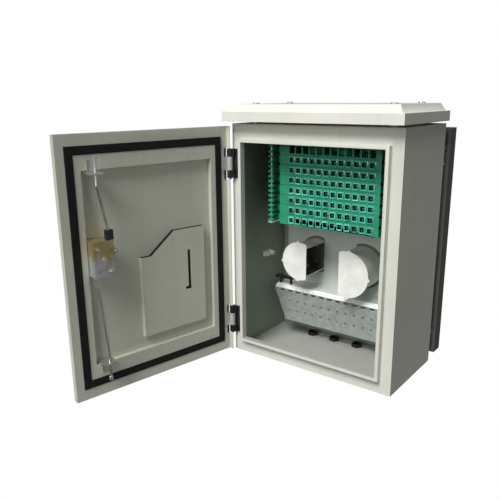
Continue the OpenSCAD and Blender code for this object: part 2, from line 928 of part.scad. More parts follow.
function involute(base, t) =
    [base * (cos(t) + t * PI / 180 * sin(t)), base * (sin(t) - t * PI / 180 * cos(t))];
function turn(p, a) = [p.x * cos(a) - p.y * sin(a), p.x * sin(a) + p.y * cos(a)];
function inv_angle(base, r) = sqrt(pow(r / base, 2) - 1) * 180 / PI;

module pinion_profile() {
    base = pitch_r * cos(press);
    tip = pitch_r + add;
    root = pitch_r - ded;
    t_pitch = inv_angle(base, pitch_r);
    p_pitch = involute(base, t_pitch);
    lean = atan2(p_pitch.y, p_pitch.x);
    half = 90 / pinion_teeth - slack / 2 / pitch_r * 180 / PI;
    steps = 6;
    t_tip = inv_angle(base, tip);
    flank = [for (k = [0 : steps]) turn(involute(base, t_tip * k / steps), -half - lean)];
    union() {
        circle(r = root + 0.2);
        for (n = [0 : pinion_teeth - 1])
            rotate(n * 360 / pinion_teeth)
                polygon(concat([[0, 0]], flank,
                               [for (k = [steps : -1 : 0]) [flank[k].x, -flank[k].y]]));
    }
}

// Rack teeth that point along +x, pitch line at x = 0, one tooth on z = 0
module rack_profile(first, last) {
    p = PI * tooth_m;
    w = p / 4 - slack / 2;
    run = tan(press);
    for (n = [first : last])
        translate([0, n * p])
            polygon([[-ded - 1, -w - ded * run], [-ded, -w - ded * run], [add, -w + add * run],
                     [add, w - add * run], [-ded, w + ded * run], [-ded - 1, w + ded * run]]);
}

// Die-cast case on the inner side of the door sheet
module lock_housing() {
    wall = 3;
    top = rod_y + 6.5;
    color("goldenrod")
        on_door()
            difference() {
                union() {
                    slab([lock_x - housing_x, panel_in, lock_z - housing_z],
                         [lock_x + housing_x, top, lock_z + housing_z]);
                    for (z = [lock_z - 12, lock_z + 15])
                        bar_y(lock_x - housing_x - 4, z, rod_y - 8, top - 2, 5);
                }
                slab([lock_x - housing_x + wall, rod_y - 7, lock_z - housing_z + wall],
                     [lock_x + housing_x - wall, rod_y + 5, lock_z + housing_z - wall]);
                // ways out for the racks
                for (side = [0, 180])
                    translate([lock_x, rod_y, lock_z])
                        rotate([0, side, 0])
                            slab([-pitch_r - 9, -4.5, housing_z - wall - 1],
                                 [-pitch_r + 3, 4.5, housing_z + 1]);
                bar_y(lock_x, lock_z, panel_in - 1, rod_y, 7);
                bar_y(lock_x, lock_z, rod_y, top + 1, 5);
                for (z = escutcheon_bolts())
                    bar_y(lock_x, z, panel_in - 1, panel_in + 12, 2.5);
            }
}

// Lock fixing nuts on the inner face of the case
module lock_nuts() {
    top = rod_y + 6.5;
    color("whitesmoke")
        on_door() {
            hex_y(lock_x - housing_x - 4, lock_z + 15, top - 2, top + 3, 3.8);
            hex_y(lock_x + housing_x - 8, lock_z + 24, top, top + 5, 4.5);
            hex_y(lock_x - housing_x + 8, lock_z - 30, top, top + 5, 4.5);
        }
}

// Pinion on the handle spindle
module lock_pinion() {
    top = rod_y + 6.5;
    color("darkgray")
        on_door() {
            translate([lock_x, rod_y + 4, lock_z])
                rotate([90, 0, 0])
                    linear_extrude(8) rotate(15) pinion_profile();
            bar_y(lock_x, lock_z, hub_y - 2, rod_y - 3.9, 5);
            bar_y(lock_x, lock_z, rod_y + 3.9, top + 2, 4.8);
        }
}

// Rod set: rack in the case, leaning rod, guided end; side is 1 up, -1 down
module rod_set(side) {
    end_z = side > 0 ? rod_top : rod_bottom;
    guide = side > 0 ? guide_z[1] : guide_z[0];
    // heights below are counted from the pinion, away from it positive
    rack_low = -rack_drop;
    rack_high = rack_rise;
    stem_top = housing_z + 22;
    shoe = [8, 6];
    back = pitch_r + 7.6;
    stem_x = 3 - back;
    knee = [side * (rod_x - lock_x), 0, side * (guide - lock_z) - 26];
    end = [knee.x, 0, side * (end_z - lock_z) - 8];
    color("silver")
        on_door()
            translate([lock_x, rod_y, lock_z])
                rotate([0, side > 0 ? 0 : 180, 0]) {
                    translate([-pitch_r, 4, 0])
                        rotate([90, 0, 0])
                            linear_extrude(8)
                                rack_profile(-5, 2);
                    slab([-back, -4, rack_low], [-pitch_r - ded, 4, rack_high]);
                    slab([stem_x - 3, -4, rack_high - 2], [stem_x + 3, 4, stem_top]);
                    slab([stem_x - shoe.x, -shoe.y, housing_z + 2 * gap],
                         [stem_x + shoe.x, shoe.y, stem_top]);
                    bar_between([stem_x, 0, stem_top - 4], knee, rod_r);
                    translate(knee) sphere(r = rod_r + gap);
                    bar_between(knee, end, rod_r);
                    bar_between(end, [knee.x, 0, side * (end_z - lock_z)], 5);
                }
}

module rod_upper() rod_set(1);

module rod_lower() rod_set(-1);

// Guide brackets that hold the rod ends on the stiffening frame
module rod_guides() {
    color("whitesmoke")
        on_door()
            for (z = guide_z)
                difference() {
                    foot = z < mid_z ? -27 : -2;
                    union() {
                        slab([rod_x - 16, door_back, z - 2], [rod_x + 16, rod_y + 8, z + 2]);
                        slab([rod_x - 8, door_back, z + foot],
                             [rod_x + 8, door_back + 2, z + foot + 29]);
                    }
                    bar_z(rod_x, rod_y, z - 3, z + 3, rod_r + gap);
                }
}

// Outer plate of the swing handle
module escutcheon() {
    color([0.2, 0.2, 0.21])
        on_door()
            difference() {
                union() {
                    slab([lock_x - 17, hub_y, lock_z - 30],
                         [lock_x + 17, door_face, lock_z + grip_len]);
                    for (z = [lock_z - 30, lock_z + grip_len])
                        bar_y(lock_x, z, hub_y, door_face, 17);
                }
                bar_y(lock_x, lock_z, hub_y - 1, door_face + 1, 5 + fit);
                for (z = escutcheon_bolts())
                    bar_y(lock_x, z, hub_y - 1, door_face + 1, 2.5);
            }
}

// Turning head of the handle, with a fork for the lever pin
module handle_hub() {
    color([0.2, 0.2, 0.21])
        on_door()
            difference() {
                union() {
                    bar_y(lock_x, lock_z, hub_y - 8, hub_y - gap, 15);
                    for (s = [-1, 1])
                        slab([lock_x - 6, hub_y - 20, lock_z + s * 11 - 2.5],
                             [lock_x + 6, hub_y - 7, lock_z + s * 11 + 2.5]);
                }
                bar_z(lock_x, hub_y - 15, lock_z - 20, lock_z + 20, 2);
                bar_y(lock_x, lock_z, hub_y - 4, hub_y, 5);
            }
}

module handle_pin() {
    color("silver")
        on_door()
            bar_z(lock_x, hub_y - 15, lock_z - 13.5, lock_z + 13.5, 2);
}

// Lever, turned a quarter turn towards the hinges with the lock open
module swing_handle() {
    y0 = hub_y - 20;
    y1 = hub_y - 9;
    tip = lock_x - grip_len;
    color([0.2, 0.2, 0.21])
        on_door()
            difference() {
                union() {
                    slab([tip + 12, y0, lock_z - 12], [lock_x - 16, y1, lock_z + 12]);
                    bar_y(tip + 12, lock_z, y0, y1, 12);
                    slab([lock_x - 17, y0, lock_z - 8], [lock_x, y1, lock_z + 8]);
                    bar_z(lock_x, hub_y - 15, lock_z - 8, lock_z + 8, 5);
                }
                bar_z(lock_x, hub_y - 15, lock_z - 20, lock_z + 20, 2 + fit);
                bar_y(tip + 16, lock_z, y0 - 1, y1 + 1, 8 + fit);
            }
}

// Key cylinder at the free end of the lever, with a key slot
module key_cylinder() {
    y0 = hub_y - 21;
    x = lock_x - grip_len + 16;
    color("gold")
        on_door()
            difference() {
                bar_y(x, lock_z, y0, hub_y - 9, 8);
                slab([x - 1, y0 - 1, lock_z - 4], [x + 1, y0 + 8, lock_z + 4]);
            }
}

// Dust cover that turns aside on its rivet
module cylinder_cover() {
    y = hub_y - 21 - gap;
    x = lock_x - grip_len + 16;
    color([0.2, 0.2, 0.21])
        on_door() {
            bar_y(x, lock_z, y - 2, y, 10);
            slab([x, y - 2, lock_z - 6], [x + 18, y, lock_z + 6]);
            bar_y(x + 18, lock_z, y - 2, y, 6);
            bar_y(x + 18, lock_z, y - e, hub_y - 20, 2.5);
        }
}

enclosure_shell();
rain_hood();
hood_spacers();
hood_bolts();
mount_rail_left();
mount_rail_right();
rail_spacers();
rail_bolts();
back_plate();
back_plate_studs();
hinge_bodies();
hinge_pins();
earth_stud();
tray_frame();
tray_pivot_rod();
tray(1);  // tray_1
tray(2);  // tray_2
tray(3);  // tray_3
tray(4);  // tray_4
tray(5);  // tray_5
tray(6);  // tray_6
tray(7);  // tray_7
tray(8);  // tray_8
adapters(2);  // adapters_2
adapters(3);  // adapters_3
adapters(4);  // adapters_4
adapters(5);  // adapters_5
adapters(6);  // adapters_6
adapters(7);  // adapters_7
adapters(8);  // adapters_8
slack_drum_left();
slack_drum_right();
drum_screws();
cable_bracket();
cable_bracket_screws();
strength_member_clamp();
fibre_clips();
gland_plate();
gland_plate_screws();
gland_bodies();
gland_nuts();
gland_caps();
gland_seals();
door_panel();
door_stiffener();
door_gasket();
document_pocket();
hinge_leaves();
lock_housing();
lock_nuts();
lock_pinion();
rod_upper();
rod_lower();
rod_guides();
escutcheon();
handle_hub();
swing_handle();
handle_pin();
key_cylinder();
cylinder_cover();
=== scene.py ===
import json
import math

import bmesh
import bpy
from bpy.props import FloatProperty, FloatVectorProperty, IntProperty, PointerProperty
from mathutils import Matrix, Vector
from mathutils.bvhtree import BVHTree


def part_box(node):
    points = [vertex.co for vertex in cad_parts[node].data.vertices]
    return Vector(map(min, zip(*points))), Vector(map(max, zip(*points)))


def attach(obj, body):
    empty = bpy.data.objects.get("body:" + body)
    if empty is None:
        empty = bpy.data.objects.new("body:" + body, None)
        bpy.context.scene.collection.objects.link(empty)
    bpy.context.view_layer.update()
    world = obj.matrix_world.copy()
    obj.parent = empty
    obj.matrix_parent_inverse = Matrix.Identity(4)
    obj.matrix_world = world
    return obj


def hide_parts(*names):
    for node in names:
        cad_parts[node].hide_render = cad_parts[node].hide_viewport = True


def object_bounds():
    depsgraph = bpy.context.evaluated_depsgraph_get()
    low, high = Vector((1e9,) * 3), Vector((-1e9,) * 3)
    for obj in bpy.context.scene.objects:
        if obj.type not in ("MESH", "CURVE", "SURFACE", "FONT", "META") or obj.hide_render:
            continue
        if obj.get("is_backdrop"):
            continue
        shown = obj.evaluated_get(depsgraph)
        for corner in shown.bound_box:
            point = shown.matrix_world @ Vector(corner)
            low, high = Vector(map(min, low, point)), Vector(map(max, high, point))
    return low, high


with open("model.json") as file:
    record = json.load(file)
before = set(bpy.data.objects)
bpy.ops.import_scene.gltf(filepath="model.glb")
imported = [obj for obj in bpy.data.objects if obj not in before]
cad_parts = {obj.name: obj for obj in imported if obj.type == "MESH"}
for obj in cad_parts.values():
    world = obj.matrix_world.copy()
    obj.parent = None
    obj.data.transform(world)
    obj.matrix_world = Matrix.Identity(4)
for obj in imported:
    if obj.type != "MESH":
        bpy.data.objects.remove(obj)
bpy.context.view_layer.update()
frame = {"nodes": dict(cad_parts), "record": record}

bl_info = {
    "name": "Fibre termination box",
    "version": (1, 0, 0),
    "blender": (4, 5, 0),
    "location": "View3D > Sidebar > Termination box",
    "description": "Dresses the packed fibre termination box and sets its studio",
    "category": "Object",
}

SLEEVE_REACH = 0.0025        # half width that holds only the faces of a sleeve
PORT_REACH = 0.0060          # half width that holds only the faces of a port
POCKET_STEP = 0.055          # height over which the mouth of the document pocket steps down
CLEAR_OF_FACE = 0.0002       # how far off a face a ray starts
LOOK_ACROSS = 0.3            # how far a hollow is looked across
WITHIN_SIDES = 0.001         # how far inside the outer sides an inner face lies
ABOVE_BOTTOM = 0.0005        # how far above the underside the inner floor lies
FLOOR_REACH = 0.05           # height under which faces that look up are the floor
BEHIND_FRONT = 0.004         # the floor starts this far behind the rim
BEHIND_RIM = 0.012           # the inner walls start this far behind the rim
NEAR_BACK = 0.01             # depth that holds the inner face of the rear wall
FLOOR_HALF = 0.75            # half width of the studio floor
SUN_SPREAD = 28.0            # apparent width of each light, in degrees

NODES = frame["nodes"]
BODIES = {node: body for body, members in frame["record"]["behaviour"]["bodies"].items()
          for node in members}


# ------------------------------------------------------------------ settings

def colour(name, description, value):
    return FloatVectorProperty(name=name, description=description, default=value, size=3,
                               min=0.0, max=1.0, subtype="COLOR")


def length(name, description, value, low=0.0, high=0.05):
    return FloatProperty(name=name, description=description, default=value, min=low, max=high,
                         unit="LENGTH", subtype="DISTANCE", precision=5)


class FTB_Sizes(bpy.types.PropertyGroup):
    sheet_edge: length("Sheet edge", "Rounding of the cut sheet steel edges", 0.0004)
    cast_edge: length("Casting edge", "Rounding of the die-cast edges", 0.0008)
    plastic_edge: length("Plastic edge", "Rounding of the moulded edges", 0.0004)
    gasket_round: length("Gasket rounding", "Rounding of the foam gasket strip", 0.0016)
    recess_depth: length("Recess relief", "Depth of the fine relief in the paint", 0.00012, 0.0, 0.001)
    edge_steps: IntProperty(name="Edge steps", description="Segments in each rounded edge",
                            default=2, min=1, max=4)


class FTB_Colours(bpy.types.PropertyGroup):
    body_paint: colour("Body paint", "Powder coat of the box body", (0.66, 0.67, 0.62))
    hood_paint: colour("Hood paint", "Powder coat of the rain hood", (0.80, 0.80, 0.75))
    # The inside wall and floor colours are the body paint darkened as painted shade inside the box; the
    # coat adds dust specks over it.
    inner_wall_shade: colour("Inner wall", "Inside wall paint, darkened as painted shade, with dust specks", (0.32, 0.38, 0.31))
    inner_floor_shade: colour("Inner floor", "Inside floor paint, darkened as painted shade, with dust specks", (0.38, 0.39, 0.37))
    # Port and sleeve colours are painted shade inside the adapter holes.
    port_shade: colour("Port inside", "Inside of the adapter ports, darkened as painted shade", (0.006, 0.05, 0.035))
    shaded_sleeve: colour("Sleeve", "Alignment sleeves, darkened green as painted shade deep in the ports", (0.06, 0.16, 0.13))
    clip_steel: colour("Clip steel", "Spring clips beside the adapters", (0.85, 0.87, 0.85))
    # The upper faces of the bracket take a paler zinc as painted light from above.
    galvanised_painted_light: colour("Galvanised top", "Upper faces of the bracket, lightened as painted light from above", (0.78, 0.82, 0.80))
    # The inside of the slack drums is painted shade.
    drum_painted_shade: colour("Drum inside", "Inside of the slack drums, darkened as painted shade", (0.16, 0.15, 0.13))
    pocket_dark: colour("Pocket inside", "Shaded inside of the document pocket", (0.07, 0.07, 0.065))
    door_paint: colour("Door paint", "Powder coat of the door and its frame", (0.60, 0.61, 0.53))
    # The back plate and tray frame take a darker, greener coat as painted shade inside the box.
    inner_paint: colour("Inner plate", "Coat of the back plate and tray frame, darkened as painted shade inside the box", (0.54, 0.60, 0.56))
    # The wall rails are dark paint, darkened further as painted shade behind the box.
    rail_paint: colour("Rail paint", "Dark coat of the two wall rails, darkened further as painted shade behind the box", (0.12, 0.12, 0.115))
    tray_plastic: colour("Tray plastic", "Moulded splice trays", (0.02, 0.30, 0.17))
    adapter_plastic: colour("Adapter plastic", "Connector adapters", (0.08, 0.56, 0.42))
    drum_plastic: colour("Drum plastic", "Slack drums and fibre clips", (0.82, 0.83, 0.81))
    zinc: colour("Zinc", "Bright zinc fasteners and rods", (0.74, 0.75, 0.75))
    yellow_zinc: colour("Yellow zinc", "Passivated lock case", (0.52, 0.42, 0.20))
    galvanised: colour("Galvanised sheet", "Cable fixing bracket", (0.30, 0.335, 0.315))
    black_paint: colour("Black casting", "Hinge halves on the box", (0.012, 0.012, 0.013))
    grey_casting: colour("Grey casting", "Hinge halves on the door", (0.55, 0.56, 0.54))
    black_plastic: colour("Black plastic", "Handle, glands and clamp", (0.015, 0.015, 0.017))
    gasket: colour("Gasket", "Foam rubber strip and gland seals", (0.008, 0.008, 0.008))
    brass: colour("Brass", "Earthing stud", (0.62, 0.44, 0.16))
    chrome: colour("Chrome", "Key cylinder", (0.72, 0.72, 0.74))
    floor: colour("Floor", "Studio floor", (0.92, 0.92, 0.91))


class FTB_Studio(bpy.types.PropertyGroup):
    camera_at: FloatVectorProperty(name="Camera", description="Place of the camera", size=3,
                                   default=(0.6943, -1.4247, 0.3626), unit="LENGTH",
                                   subtype="TRANSLATION")
    camera_yaw: FloatProperty(name="Yaw", description="Camera turn to the left of straight back",
                              default=math.radians(37.65), subtype="ANGLE", unit="ROTATION")
    camera_pitch: FloatProperty(name="Pitch", description="Camera tilt below level",
                                default=math.radians(14.91), subtype="ANGLE", unit="ROTATION")
    camera_roll: FloatProperty(name="Roll", description="Camera roll",
                               default=math.radians(-0.52), subtype="ANGLE", unit="ROTATION")
    lens: FloatProperty(name="Lens", description="Focal length on a 36 mm sensor",
                        default=41.37, min=10.0, max=200.0, subtype="DISTANCE_CAMERA",
                        unit="CAMERA")
    key: FloatProperty(name="Key light", description="Strength of the key light",
                       default=3.5, min=0.0, max=20.0)
    front: FloatProperty(name="Front light", description="Strength of the low light from the front",
                         default=0.8, min=0.0, max=20.0)
    fill: FloatProperty(name="Fill light", description="Strength of the weak light from the right",
                        default=0.30, min=0.0, max=20.0)
    ambient: FloatProperty(name="Ambient", description="Strength of the surrounding light",
                           default=0.06, min=0.0, max=2.0)
    floor_drop: length("Floor drop", "Gap between the lowest piece and the floor", 1.1, 0.0, 2.0)


def sizes():
    return bpy.context.scene.ftb_sizes


def colours():
    return bpy.context.scene.ftb_colours


# ------------------------------------------------------------------ finishes

class Finish:
    """A node-based finish on a Principled shader, patterned in object metres."""

    def __init__(self, name, roughness=0.5, metallic=0.0, **sockets):
        self.material = bpy.data.materials.new(name)
        self.material.use_nodes = True
        self.tree = self.material.node_tree
        self.shader = self.tree.nodes["Principled BSDF"]
        self.shader.inputs["Roughness"].default_value = roughness
        self.shader.inputs["Metallic"].default_value = metallic
        for key, value in sockets.items():
            self.shader.inputs[key.replace("_", " ")].default_value = value
        self.place = self.tree.nodes.new("ShaderNodeTexCoord").outputs["Object"]

    def node(self, kind, **inputs):
        made = self.tree.nodes.new(kind)
        for key, value in inputs.items():
            socket = made.inputs[key.replace("_", " ")]
            if isinstance(value, bpy.types.NodeSocket):
                self.tree.links.new(value, socket)
            else:
                socket.default_value = value
        return made

    def stretched(self, scale):
        made = self.node("ShaderNodeMapping", Vector=self.place)
        made.inputs["Scale"].default_value = scale
        return made.outputs["Vector"]

    def noise(self, scale, detail=2.0, rough=0.5, place=None):
        made = self.node("ShaderNodeTexNoise", Vector=place or self.place, Scale=scale,
                         Detail=detail, Roughness=rough)
        return made.outputs["Fac"]

    def cells(self, scale):
        made = self.node("ShaderNodeTexVoronoi", Vector=self.place, Scale=scale)
        split = self.node("ShaderNodeSeparateColor", Color=made.outputs["Color"])
        return split.outputs["Red"]

    def remap(self, value, low, high, to_low, to_high):
        made = self.node("ShaderNodeMapRange", Value=value)
        for key, number in (("From Min", low), ("From Max", high), ("To Min", to_low),
                            ("To Max", to_high)):
            made.inputs[key].default_value = number
        return made.outputs["Result"]

    def blend(self, factor, first, second):
        made = self.tree.nodes.new("ShaderNodeMix")
        made.data_type = "RGBA"
        self.tree.links.new(factor, made.inputs[0])
        for index, value in ((6, first), (7, second)):
            if isinstance(value, bpy.types.NodeSocket):
                self.tree.links.new(value, made.inputs[index])
            else:
                made.inputs[index].default_value = (*value, 1.0)
        return made.outputs[2]

    def paint(self, socket):
        self.tree.links.new(socket, self.shader.inputs["Base Color"])

    def gloss(self, socket):
        self.tree.links.new(socket, self.shader.inputs["Roughness"])

    def relief(self, height, depth, strength=1.0):
        made = self.node("ShaderNodeBump", Height=height)
        made.inputs["Distance"].default_value = depth
        made.inputs["Strength"].default_value = strength
        self.tree.links.new(made.outputs["Normal"], self.shader.inputs["Normal"])


def shade(value, factor):
    return tuple(min(1.0, channel * factor) for channel in value)


def powder_coat(name, value, roughness=0.42, dirt=0.07):
    """Powder coat: orange peel, slow tone changes, dust and faint drip marks."""
    look = Finish(name, roughness=roughness, Specular_IOR_Level=0.45, Coat_Weight=0.08,
                  Coat_Roughness=0.25)
    slow = look.noise(4.5, 5.0, 0.6)
    drips = look.noise(1.0, 3.0, 0.55, look.stretched((38.0, 38.0, 3.0)))
    dust = look.noise(520.0, 2.0, 0.6)
    base = look.blend(look.remap(slow, 0.3, 0.7, 0.0, 1.0), shade(value, 1 - dirt),
                      shade(value, 1 + dirt / 2))
    worn = look.blend(look.remap(drips, 0.52, 0.75, 0.0, 0.35), base, shade(value, 0.84))
    look.paint(look.blend(look.remap(dust, 0.62, 0.72, 0.0, 0.45), worn, shade(value, 0.72)))
    look.gloss(look.remap(slow, 0.3, 0.7, roughness + 0.07, roughness - 0.05))
    look.relief(look.noise(620.0, 2.0, 0.5), sizes().recess_depth, 0.35)
    return look.material


def bright_zinc(name, value, roughness=0.34, tint=(0.58, 0.56, 0.46)):
    """Zinc plate: fine brushing, faint iridescent yellow patches and dull handling marks."""
    look = Finish(name, roughness=roughness, metallic=1.0)
    patches = look.noise(45.0, 4.0, 0.6)
    brushed = look.noise(1.0, 2.0, 0.5, look.stretched((2600.0, 2600.0, 240.0)))
    base = look.blend(look.remap(patches, 0.45, 0.7, 0.0, 0.5), value, tint)
    look.paint(look.blend(look.remap(brushed, 0.4, 0.7, 0.0, 0.3), base, shade(value, 0.6)))
    look.gloss(look.remap(patches, 0.3, 0.7, roughness - 0.08, roughness + 0.16))
    look.relief(brushed, 0.00003, 0.4)
    return look.material


def spangled(name, value):
    """Hot-dip galvanised sheet with visible zinc crystals."""
    look = Finish(name, roughness=0.5, metallic=0.2, Specular_IOR_Level=0.5)
    crystals = look.cells(135.0)
    fine = look.noise(900.0, 2.0, 0.5)
    base = look.blend(crystals, shade(value, 0.9), shade(value, 1.1))
    look.paint(look.blend(look.remap(fine, 0.55, 0.75, 0.0, 0.4), base, shade(value, 0.6)))
    look.gloss(look.remap(crystals, 0.0, 1.0, 0.32, 0.6))
    look.relief(fine, 0.00004, 0.4)
    return look.material


def moulded(name, value, roughness=0.5, grain=0.3, **sockets):
    """Moulded plastic: fine spark-eroded texture, flow marks and a little dust."""
    look = Finish(name, roughness=roughness, Specular_IOR_Level=0.5, **sockets)
    flow = look.noise(28.0, 3.0, 0.55)
    grit = look.noise(1400.0, 2.0, 0.5)
    base = look.blend(look.remap(flow, 0.3, 0.7, 0.0, 1.0), shade(value, 0.9), shade(value, 1.08))
    look.paint(look.blend(look.remap(grit, 0.62, 0.75, 0.0, 0.3), base, shade(value, 0.7)))
    look.gloss(look.remap(flow, 0.3, 0.7, roughness - 0.06, roughness + 0.08))
    look.relief(grit, 0.00005, grain)
    return look.material


def cast_metal(name, value, roughness=0.48, metallic=0.0):
    """Die casting under thin paint: pebbled skin with rubbed high spots."""
    look = Finish(name, roughness=roughness, metallic=metallic, Specular_IOR_Level=0.5)
    pebble = look.noise(480.0, 3.0, 0.6)
    rub = look.noise(60.0, 4.0, 0.6)
    look.paint(look.blend(look.remap(rub, 0.55, 0.75, 0.0, 0.35), value, shade(value, 1.9)))
    look.gloss(look.remap(pebble, 0.3, 0.7, roughness - 0.1, roughness + 0.14))
    look.relief(pebble, 0.00018, 0.5)
    return look.material


def foam_rubber(name, value):
    """Foamed rubber: matt, with open pores and pale chalky dust."""
    look = Finish(name, roughness=0.86, Specular_IOR_Level=0.3)
    pores = look.noise(1100.0, 3.0, 0.65)
    chalk = look.noise(70.0, 4.0, 0.6)
    look.paint(look.blend(look.remap(chalk, 0.5, 0.8, 0.0, 0.5), value, shade(value, 3.2)))
    look.gloss(look.remap(pores, 0.3, 0.7, 0.75, 0.95))
    look.relief(pores, 0.0002, 0.6)
    return look.material


def passivated(name, value):
    """Yellow passivated zinc die casting with bluish and coppery blooms."""
    look = Finish(name, roughness=0.36, metallic=0.85)
    bloom = look.noise(38.0, 4.0, 0.65)
    haze = look.noise(90.0, 3.0, 0.6)
    axes = look.node("ShaderNodeSeparateXYZ", Vector=look.place)
    height = look.remap(axes.outputs["Z"], 0.005, 0.045, 0.28, -0.18)
    mixed = look.node("ShaderNodeMath", Value=height)
    look.tree.links.new(bloom, mixed.inputs[1])
    warm = look.blend(look.remap(mixed.outputs["Value"], 0.35, 0.65, 0.0, 1.0), value, (0.66, 0.70, 0.72))
    look.paint(look.blend(look.remap(haze, 0.55, 0.75, 0.0, 0.5), warm, (0.60, 0.40, 0.26)))
    look.gloss(look.remap(haze, 0.3, 0.7, 0.26, 0.5))
    look.relief(look.noise(700.0, 2.0, 0.5), 0.00006, 0.4)
    return look.material


def polished(name, value, roughness=0.16):
    """Turned and polished metal with fine rings and finger marks."""
    look = Finish(name, roughness=roughness, metallic=1.0)
    marks = look.noise(120.0, 4.0, 0.6)
    look.paint(look.blend(look.remap(marks, 0.4, 0.7, 0.0, 0.4), value, shade(value, 0.72)))
    look.gloss(look.remap(marks, 0.3, 0.7, roughness, roughness + 0.22))
    look.relief(look.noise(1800.0, 1.0, 0.5), 0.00002, 0.3)
    return look.material


def floor_coat(name, value):
    """Matt studio floor, paler to the eye than the light it gives back."""
    look = Finish(name, roughness=0.9, Specular_IOR_Level=0.1, Emission_Color=(1.0, 1.0, 1.0, 1.0))
    seen = look.node("ShaderNodeLightPath").outputs["Is Camera Ray"]
    look.tree.links.new(look.remap(seen, 0.0, 1.0, 0.0, 0.6), look.shader.inputs["Emission Strength"])
    cloud = look.noise(1.2, 3.0, 0.5)
    look.paint(look.blend(look.remap(cloud, 0.3, 0.7, 0.0, 1.0), shade(value, 0.985), value))
    look.relief(look.noise(240.0, 2.0, 0.5), 0.0002, 0.1)
    return look.material


FINISHES = {}


def finish(name):
    """The named finish, made once."""
    if name not in FINISHES:
        c = colours()
        makers = {
            "body_paint": lambda: powder_coat("body_paint", c.body_paint),
            "hood_paint": lambda: powder_coat("hood_paint", c.hood_paint),
            "door_paint": lambda: powder_coat("door_paint", c.door_paint),
            "inner_paint": lambda: powder_coat("inner_paint", c.inner_paint, 0.38, 0.05),
            "inner_wall_shade": lambda: powder_coat("inner_wall_shade", c.inner_wall_shade, 0.5, 0.12),
            "inner_floor_shade": lambda: powder_coat("inner_floor_shade", c.inner_floor_shade, 0.6, 0.16),
            "port_shade": lambda: moulded("port_shade", c.port_shade, 0.6),
            "shaded_sleeve": lambda: moulded("shaded_sleeve", c.shaded_sleeve, 0.25, 0.1),
            "clip_steel": lambda: polished("clip_steel", c.clip_steel, 0.3),
            "pocket_dark": lambda: powder_coat("pocket_dark", c.pocket_dark, 0.6, 0.12),
            "rail_paint": lambda: powder_coat("rail_paint", c.rail_paint, 0.5, 0.12),
            "tray_plastic": lambda: moulded("tray_plastic", c.tray_plastic, 0.42),
            "adapter_plastic": lambda: moulded("adapter_plastic", c.adapter_plastic, 0.3, 0.15,
                                               Coat_Weight=0.2, Coat_Roughness=0.15),
            "galvanised_painted_light": lambda: spangled("galvanised_painted_light", c.galvanised_painted_light),
            "drum_painted_shade": lambda: moulded("drum_painted_shade", c.drum_painted_shade, 0.6),
            "drum_plastic": lambda: moulded("drum_plastic", c.drum_plastic, 0.45),
            "black_plastic": lambda: moulded("black_plastic", c.black_plastic, 0.45, 0.5),
            "zinc": lambda: bright_zinc("zinc", c.zinc),
            "galvanised": lambda: spangled("galvanised", c.galvanised),
            "yellow_zinc": lambda: passivated("yellow_zinc", c.yellow_zinc),
            "black_casting": lambda: cast_metal("black_casting", c.black_paint, 0.4),
            "grey_casting": lambda: cast_metal("grey_casting", c.grey_casting, 0.42, 0.4),
            "rubber": lambda: foam_rubber("rubber", c.gasket),
            "brass": lambda: polished("brass", c.brass, 0.26),
            "chrome": lambda: polished("chrome", c.chrome),
            "floor": lambda: floor_coat("floor", c.floor),
        }
        FINISHES[name] = makers[name]()
    return FINISHES[name]


# ------------------------------------------------------------------ mesh helpers

def dress(node, look):
    """Gives a carried-over part its finish."""
    data = NODES[node].data
    data.materials.clear()
    data.materials.append(finish(look))


def piece(name, bm, looks, body, slot, covers=(), edge=0.0, smooth=35.0):
    """A finished mesh piece from a bmesh, riding on a body; faces pick among the looks."""
    mesh = bpy.data.meshes.new(name)
    bm.to_mesh(mesh)
    bm.free()
    made = bpy.data.objects.new(name, mesh)
    bpy.context.scene.collection.objects.link(made)
    for look in (looks,) if isinstance(looks, str) else looks:
        mesh.materials.append(finish(look))
    mesh.shade_smooth()
    mesh.set_sharp_from_angle(angle=math.radians(smooth))
    if edge > 0.0:
        rounded = made.modifiers.new("edges", "BEVEL")
        rounded.width = edge
        rounded.segments = sizes().edge_steps
        rounded.limit_method = "ANGLE"
        rounded.angle_limit = math.radians(smooth)
        rounded.harden_normals = True
        rounded.use_clamp_overlap = True
    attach(made, body)
    if covers:
        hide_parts(*covers)
    return made


def slot_of(node):
    return next(entry["material_slot"] for entry in frame["record"]["subparts"]
                if entry["node"] == node)


def solid_of(node):
    """A merged bmesh copy of a part, with its flat faces joined up."""
    bm = bmesh.new()
    bm.from_mesh(NODES[node].data)
    bmesh.ops.remove_doubles(bm, verts=bm.verts, dist=1e-6)
    bmesh.ops.dissolve_limit(bm, angle_limit=math.radians(0.4), verts=bm.verts, edges=bm.edges,
                             use_dissolve_boundaries=False, delimit={"NORMAL"})
    return bm


def rounded(node, look, edge, smooth=35.0):
    """The part with softened edges, in place of the plain one."""
    return piece(node + "_finished", solid_of(node), look, BODIES[node], slot_of(node),
                 covers=(node,), edge=edge, smooth=smooth)


def hollowed(node, look, shade_look, edge, also=lambda face: False):
    """The part with a darker second finish, painted shade, on the faces that look onto itself, or that
    also picks.
    """
    bm = solid_of(node)
    tree = BVHTree.FromBMesh(bm)
    for face in bm.faces:
        start = face.calc_center_median() + face.normal * CLEAR_OF_FACE
        if tree.ray_cast(start, face.normal, LOOK_ACROSS)[0] is not None or also(face):
            face.material_index = 1
    return piece(node + "_finished", bm, (look, shade_look), BODIES[node], slot_of(node),
                 covers=(node,), edge=edge)


def islands(bm):
    """The faces of each separate solid of a bmesh, in the order of their first faces."""
    seen = set()
    for start in bm.faces:
        if start in seen:
            continue
        seen.add(start)
        group, front = [], [start]
        while front:
            face = front.pop()
            group.append(face)
            for side in face.edges:
                for other in side.link_faces:
                    if other not in seen:
                        seen.add(other)
                        front.append(other)
        yield group


